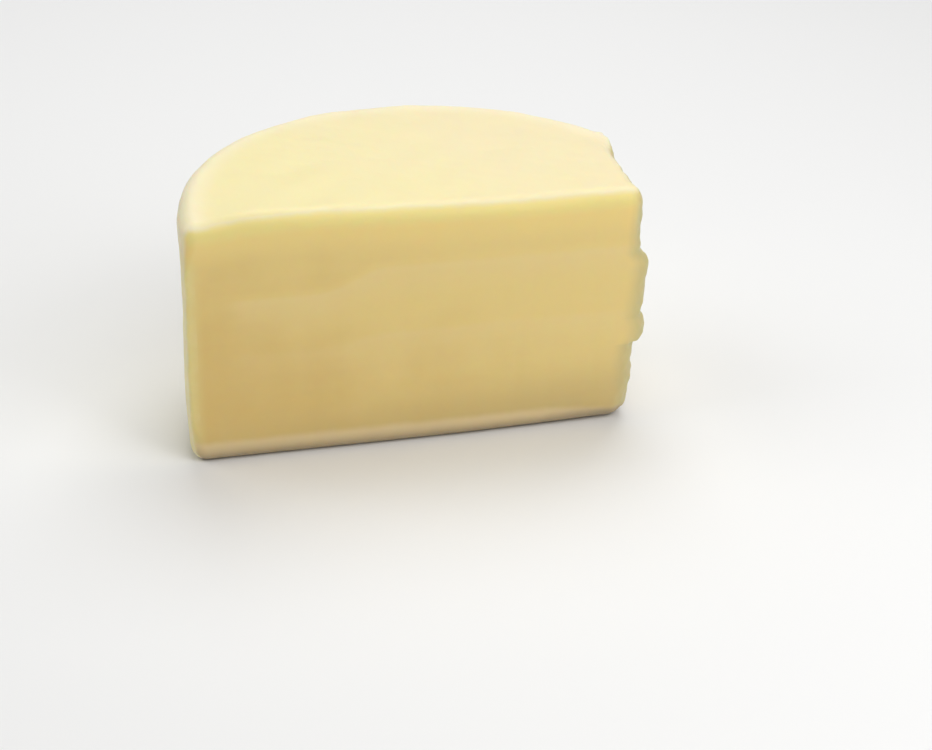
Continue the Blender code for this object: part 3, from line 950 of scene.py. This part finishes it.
def paste_tint(tree, finish, place, spot, clouds, drift, marks):
    """Colour of the paste.

    It has painted shade deepening it to the lower left, is faintly layered and mottled, has
    painted light just under a ledge and painted shade above it and near the foot. Next to the
    rind it has a painted lemon glow of light below the top and is greener by the wall.
    """
    # Painted shade: the drift deepens the paste towards the lower left; layers and mottle are its
    # own tone
    deep_and_shade = use_group(tree, drift, (0, 0), {
        "Vector": place, "Direction": (-0.55, 0.0, -0.85), "Start": -0.085, "End": 0.050,
        "Size": 0.050, "Uneven": 0.050})
    layers = use_group(tree, clouds, (0, 1), {
        "Vector": place, "Size": 0.008, "Contrast": 0.35, "Stretch": (9.0, 4.0, 1.0)})
    mottle = use_group(tree, clouds, (0, 2), {"Vector": place, "Size": 0.016, "Contrast": 0.5})
    for row, extra in enumerate((
            sway(tree, (2, 1), layers, LAYER_SWAY),
            sway(tree, (2, 2), mottle, MOTTLE_SWAY),
            remap(tree, (2, 3), marks["layer"], *ABOVE_SHADE_FADE, ABOVE_LEDGE_SHADE, 0.0))):
        deep_and_shade = math_node(tree, (3, 1 + row), "ADD", deep_and_shade, extra)
    deep_and_shade = remap(tree, (4, 1), deep_and_shade, 0.0, 1.0)
    color = mix_colors(tree, (5, 0), deep_and_shade, tuple(finish.paste_color), tuple(finish.paste_deep_and_shade))

    climb = math_node(tree, (1, 4), "MULTIPLY", spot["X"], FOOT_SHADE_CLIMB)
    height = math_node(tree, (2, 4), "SUBTRACT", spot["Z"], climb)
    # Painted light under a ledge, painted shade at the foot, the wall's own greener paste, then
    # the painted glow below the top
    for column, (value, fade, share, tint) in enumerate((
            (marks["layer"], LEDGE_LIGHT_FADE, LEDGE_LIGHT_SHARE, finish.paste_ledge_light),
            (height, FOOT_SHADE_FADE, 1.0, finish.paste_foot_shade),
            (marks["beside"], WALL_FADE, WALL_SHARE, finish.paste_wall),
            (marks["below"], GLOW_LIGHT_FADE, 1.0, finish.paste_glow_light),
            (marks["below"], GLOW_LEMON_FADE, 1.0, finish.paste_glow_lemon))):
        mask = remap(tree, (6 + column, 1), value, *fade, 0.0, share)
        color = mix_colors(tree, (6 + column, 0), mask, color, tuple(tint))
    return color


def cheese_relief(tree, place, clouds, is_rind, is_torn):
    """Bump normal: pits in the rind, fine upright drag all over and rough curd at the end."""
    pits = use_group(tree, pits_group(), (0, 14), {"Vector": place, "Size": 0.005, "Share": 0.25})
    drag = use_group(tree, clouds, (0, 15), {
        "Vector": place, "Size": 0.0011, "Contrast": 0.4, "Stretch": (1.0, 1.0, 9.0)})
    torn = use_group(tree, clouds, (0, 16), {
        "Vector": place, "Size": 0.0022, "Contrast": 0.4, "Stretch": (1.0, 3.0, 1.0)})
    pits = math_node(tree, (2, 14), "MULTIPLY", pits, is_rind)
    torn = math_node(tree, (2, 16), "MULTIPLY", torn, is_torn)
    pits = math_node(tree, (3, 14), "MULTIPLY", pits, PIT_SHARE)
    drag = math_node(tree, (3, 15), "MULTIPLY", drag, DRAG_SHARE)
    torn = math_node(tree, (3, 16), "MULTIPLY", torn, TORN_SHARE)
    height = math_node(tree, (4, 14), "ADD", pits, drag)
    height = math_node(tree, (5, 14), "ADD", height, torn)
    bump = add_node(tree, "ShaderNodeBump", (6, 14),
                    {"Height": height, "Distance": 0.00018, "Strength": 0.25})
    return bump.outputs["Normal"]


def piece_marks(tree):
    """Outputs of the numbers that the piece carries at each of its points, by their names."""
    names = ("rind", "foot", "below", "beside", "torn", "dried", "layer")
    marks = {}
    for row, name in enumerate(names):
        reader = add_node(tree, "ShaderNodeAttribute", (-2, 2 + row), attribute_name=name)
        marks[name] = reader.outputs["Fac"]
    return marks


def cheese_material(finish):
    """Waxy rind, paste and torn curd, each where the piece's attributes put it, with painted
    light and shade in their colours.
    """
    material = bpy.data.materials.new("kashkaval")
    material.use_nodes = True
    tree = material.node_tree
    place = add_node(tree, "ShaderNodeTexCoord", (-2, 0)).outputs["Object"]
    spot = add_node(tree, "ShaderNodeSeparateXYZ", (-1, 0), {"Vector": place}).outputs
    marks = piece_marks(tree)
    clouds = clouds_group()
    drift = drift_group(clouds)

    ragged = use_group(tree, clouds, (0, 6), {"Vector": place, "Size": 0.006, "Contrast": 0.5})
    wander = sway(tree, (2, 6), ragged, BORDER_WANDER)
    rind = math_node(tree, (3, 6), "ADD", marks["rind"], wander)
    is_rind = remap(tree, (4, 6), rind, *RIND_BORDER)
    foot = math_node(tree, (3, 7), "ADD", marks["foot"], wander)
    is_foot = remap(tree, (4, 7), foot, *FOOT_BORDER)

    color = paste_tint(tree, finish, place, spot, clouds, drift, marks)
    # Torn curd colour with painted shade on the sliced end's edges, then the foot edge, then the
    # rind
    for column, (share, tint) in enumerate((
            (marks["dried"], tuple(finish.torn_and_shade_color)),
            (is_foot, foot_tint(tree, finish, spot)),
            (is_rind, rind_tint(tree, finish, place, drift, rind, marks)))):
        color = mix_colors(tree, (11 + column, 0), share, color, tint)

    smear = use_group(tree, clouds, (0, 12), {"Vector": place, "Size": 0.010, "Contrast": 0.3})
    gloss = sway(tree, (2, 12), smear, GLOSS_SWAY)
    dull = remap(tree, (2, 11), is_rind, 0.0, 1.0, finish.paste_roughness, finish.rind_roughness)
    roughness = math_node(tree, (3, 12), "ADD", dull, gloss)

    shader = tree.nodes["Principled BSDF"]
    shader.location = (15 * COLUMN_WIDTH, 0.0)
    tree.nodes["Material Output"].location = (17 * COLUMN_WIDTH, 0.0)
    tree.links.new(color, shader.inputs["Base Color"])
    tree.links.new(roughness, shader.inputs["Roughness"])
    normal = cheese_relief(tree, place, clouds, is_rind, marks["torn"])
    tree.links.new(normal, shader.inputs["Normal"])
    shader.inputs["Subsurface Weight"].default_value = finish.glow
    shader.inputs["Subsurface Scale"].default_value = finish.glow_depth
    shader.inputs["Subsurface Radius"].default_value = (1.0, 0.62, 0.25)
    shader.inputs["IOR"].default_value = 1.45
    shader.inputs["Specular IOR Level"].default_value = 0.30
    material.diffuse_color = tuple(finish.paste_color)
    return material


def floor_material(studio):
    """Plain pale matt paper."""
    material = bpy.data.materials.new("studio_paper")
    material.use_nodes = True
    shader = material.node_tree.nodes["Principled BSDF"]
    shader.inputs["Base Color"].default_value = tuple(studio.floor_color)
    shader.inputs["Roughness"].default_value = 0.9
    shader.inputs["Specular IOR Level"].default_value = 0.1
    return material


# ---------------------------------------------------------------- studio


def floor_object(studio):
    """Level square floor below the block."""
    reach = FLOOR_HALF_SIDE
    corners = [(-reach, -reach, 0.0), (reach, -reach, 0.0),
               (reach, reach, 0.0), (-reach, reach, 0.0)]
    mesh = bpy.data.meshes.new("studio_floor")
    mesh.from_pydata(corners, [], [(0, 1, 2, 3)])
    mesh.materials.append(floor_material(studio))
    floor = bpy.data.objects.new("studio_floor", mesh)
    bpy.context.scene.collection.objects.link(floor)


def soft_light(name, place, side, power):
    """Square white area light at a place, facing the block."""
    light = bpy.data.lights.new(name, "AREA")
    light.size = side
    light.energy = power
    lamp = bpy.data.objects.new(name, light)
    lamp.location = place
    toward = Vector(LIT_POINT) - Vector(place)
    lamp.rotation_euler = toward.to_track_quat("-Z", "Y").to_euler()
    bpy.context.scene.collection.objects.link(lamp)


def air_light(strength):
    """Even white light from all round."""
    world = bpy.data.worlds.new("studio_air")
    world.use_nodes = True
    background = world.node_tree.nodes["Background"]
    background.inputs["Color"].default_value = (1.0, 1.0, 1.0, 1.0)
    background.inputs["Strength"].default_value = strength
    bpy.context.scene.world = world


def studio_camera(studio):
    """Camera that looks along +Y, turned, tipped down and leant by the set angles."""
    low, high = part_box(NODE)
    middle = Vector((0.5 * (low.x + high.x), 0.5 * (low.y + high.y), low.z))
    camera = bpy.data.cameras.new("studio_camera")
    camera.sensor_width = SENSOR_WIDTH
    camera.lens = studio.camera_lens
    camera.clip_start = NEAREST_SEEN
    view = bpy.data.objects.new("studio_camera", camera)
    turn = (Matrix.Rotation(-studio.camera_yaw, 4, "Z")
            @ Matrix.Rotation(math.pi / 2.0 - studio.camera_pitch, 4, "X")
            @ Matrix.Rotation(studio.camera_roll, 4, "Z"))
    view.matrix_world = Matrix.Translation(middle + Vector(studio.camera_place)) @ turn
    bpy.context.scene.collection.objects.link(view)
    bpy.context.scene.camera = view


# ---------------------------------------------------------------- add-on


class KASHKAVAL_OT_half_wheel(Operator):
    """Make the half wheel of cheese in place of its plain solid"""

    bl_idname = "kashkaval.half_wheel"
    bl_label = "Half Wheel"
    bl_options = {"REGISTER", "UNDO"}

    def execute(self, context):
        block = half_wheel_object(context.scene.kashkaval_sizes)
        block.data.materials.append(cheese_material(context.scene.kashkaval_finish))
        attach(block, "root")
        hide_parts(NODE)
        return {"FINISHED"}


class KASHKAVAL_OT_studio(Operator):
    """Set up the pale floor, the soft lights and the camera"""

    bl_idname = "kashkaval.studio"
    bl_label = "Studio"
    bl_options = {"REGISTER", "UNDO"}

    def execute(self, context):
        studio = context.scene.kashkaval_studio
        floor_object(studio)
        for name, place, side, power in LIGHTS:
            soft_light(name, place, side, getattr(studio, power))
        air_light(studio.air_strength)
        studio_camera(studio)
        context.scene.view_settings.view_transform = "Standard"
        return {"FINISHED"}


class KASHKAVAL_PT_panel(Panel):
    """Sizes, colours and studio of the half wheel"""

    bl_label = "Kashkaval Half Wheel"
    bl_idname = "KASHKAVAL_PT_panel"
    bl_space_type = "VIEW_3D"
    bl_region_type = "UI"
    bl_category = "Kashkaval"

    def draw(self, context):
        layout = self.layout
        for title, group, operator in (
            ("Block", context.scene.kashkaval_sizes, None),
            ("Finish", context.scene.kashkaval_finish, KASHKAVAL_OT_half_wheel.bl_idname),
            ("Studio", context.scene.kashkaval_studio, KASHKAVAL_OT_studio.bl_idname),
        ):
            box = layout.box()
            box.label(text=title)
            for name in group.__annotations__:
                box.prop(group, name)
            if operator:
                box.operator(operator)


CLASSES = (BlockSizes, CheeseFinish, StudioSettings,
           KASHKAVAL_OT_half_wheel, KASHKAVAL_OT_studio, KASHKAVAL_PT_panel)
GROUPS = {"kashkaval_sizes": BlockSizes, "kashkaval_finish": CheeseFinish,
          "kashkaval_studio": StudioSettings}


def register():
    """Register the classes and give the scene its settings."""
    for made in CLASSES:
        bpy.utils.register_class(made)
    for name, group in GROUPS.items():
        setattr(bpy.types.Scene, name, PointerProperty(type=group))


def unregister():
    """Take the scene's settings and the classes away again."""
    for name in GROUPS:
        delattr(bpy.types.Scene, name)
    for made in reversed(CLASSES):
        bpy.utils.unregister_class(made)


def main():
    """Register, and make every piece."""
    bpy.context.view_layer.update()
    register()
    bpy.ops.kashkaval.half_wheel()
    bpy.ops.kashkaval.studio()


if __name__ == "__main__":
    main()
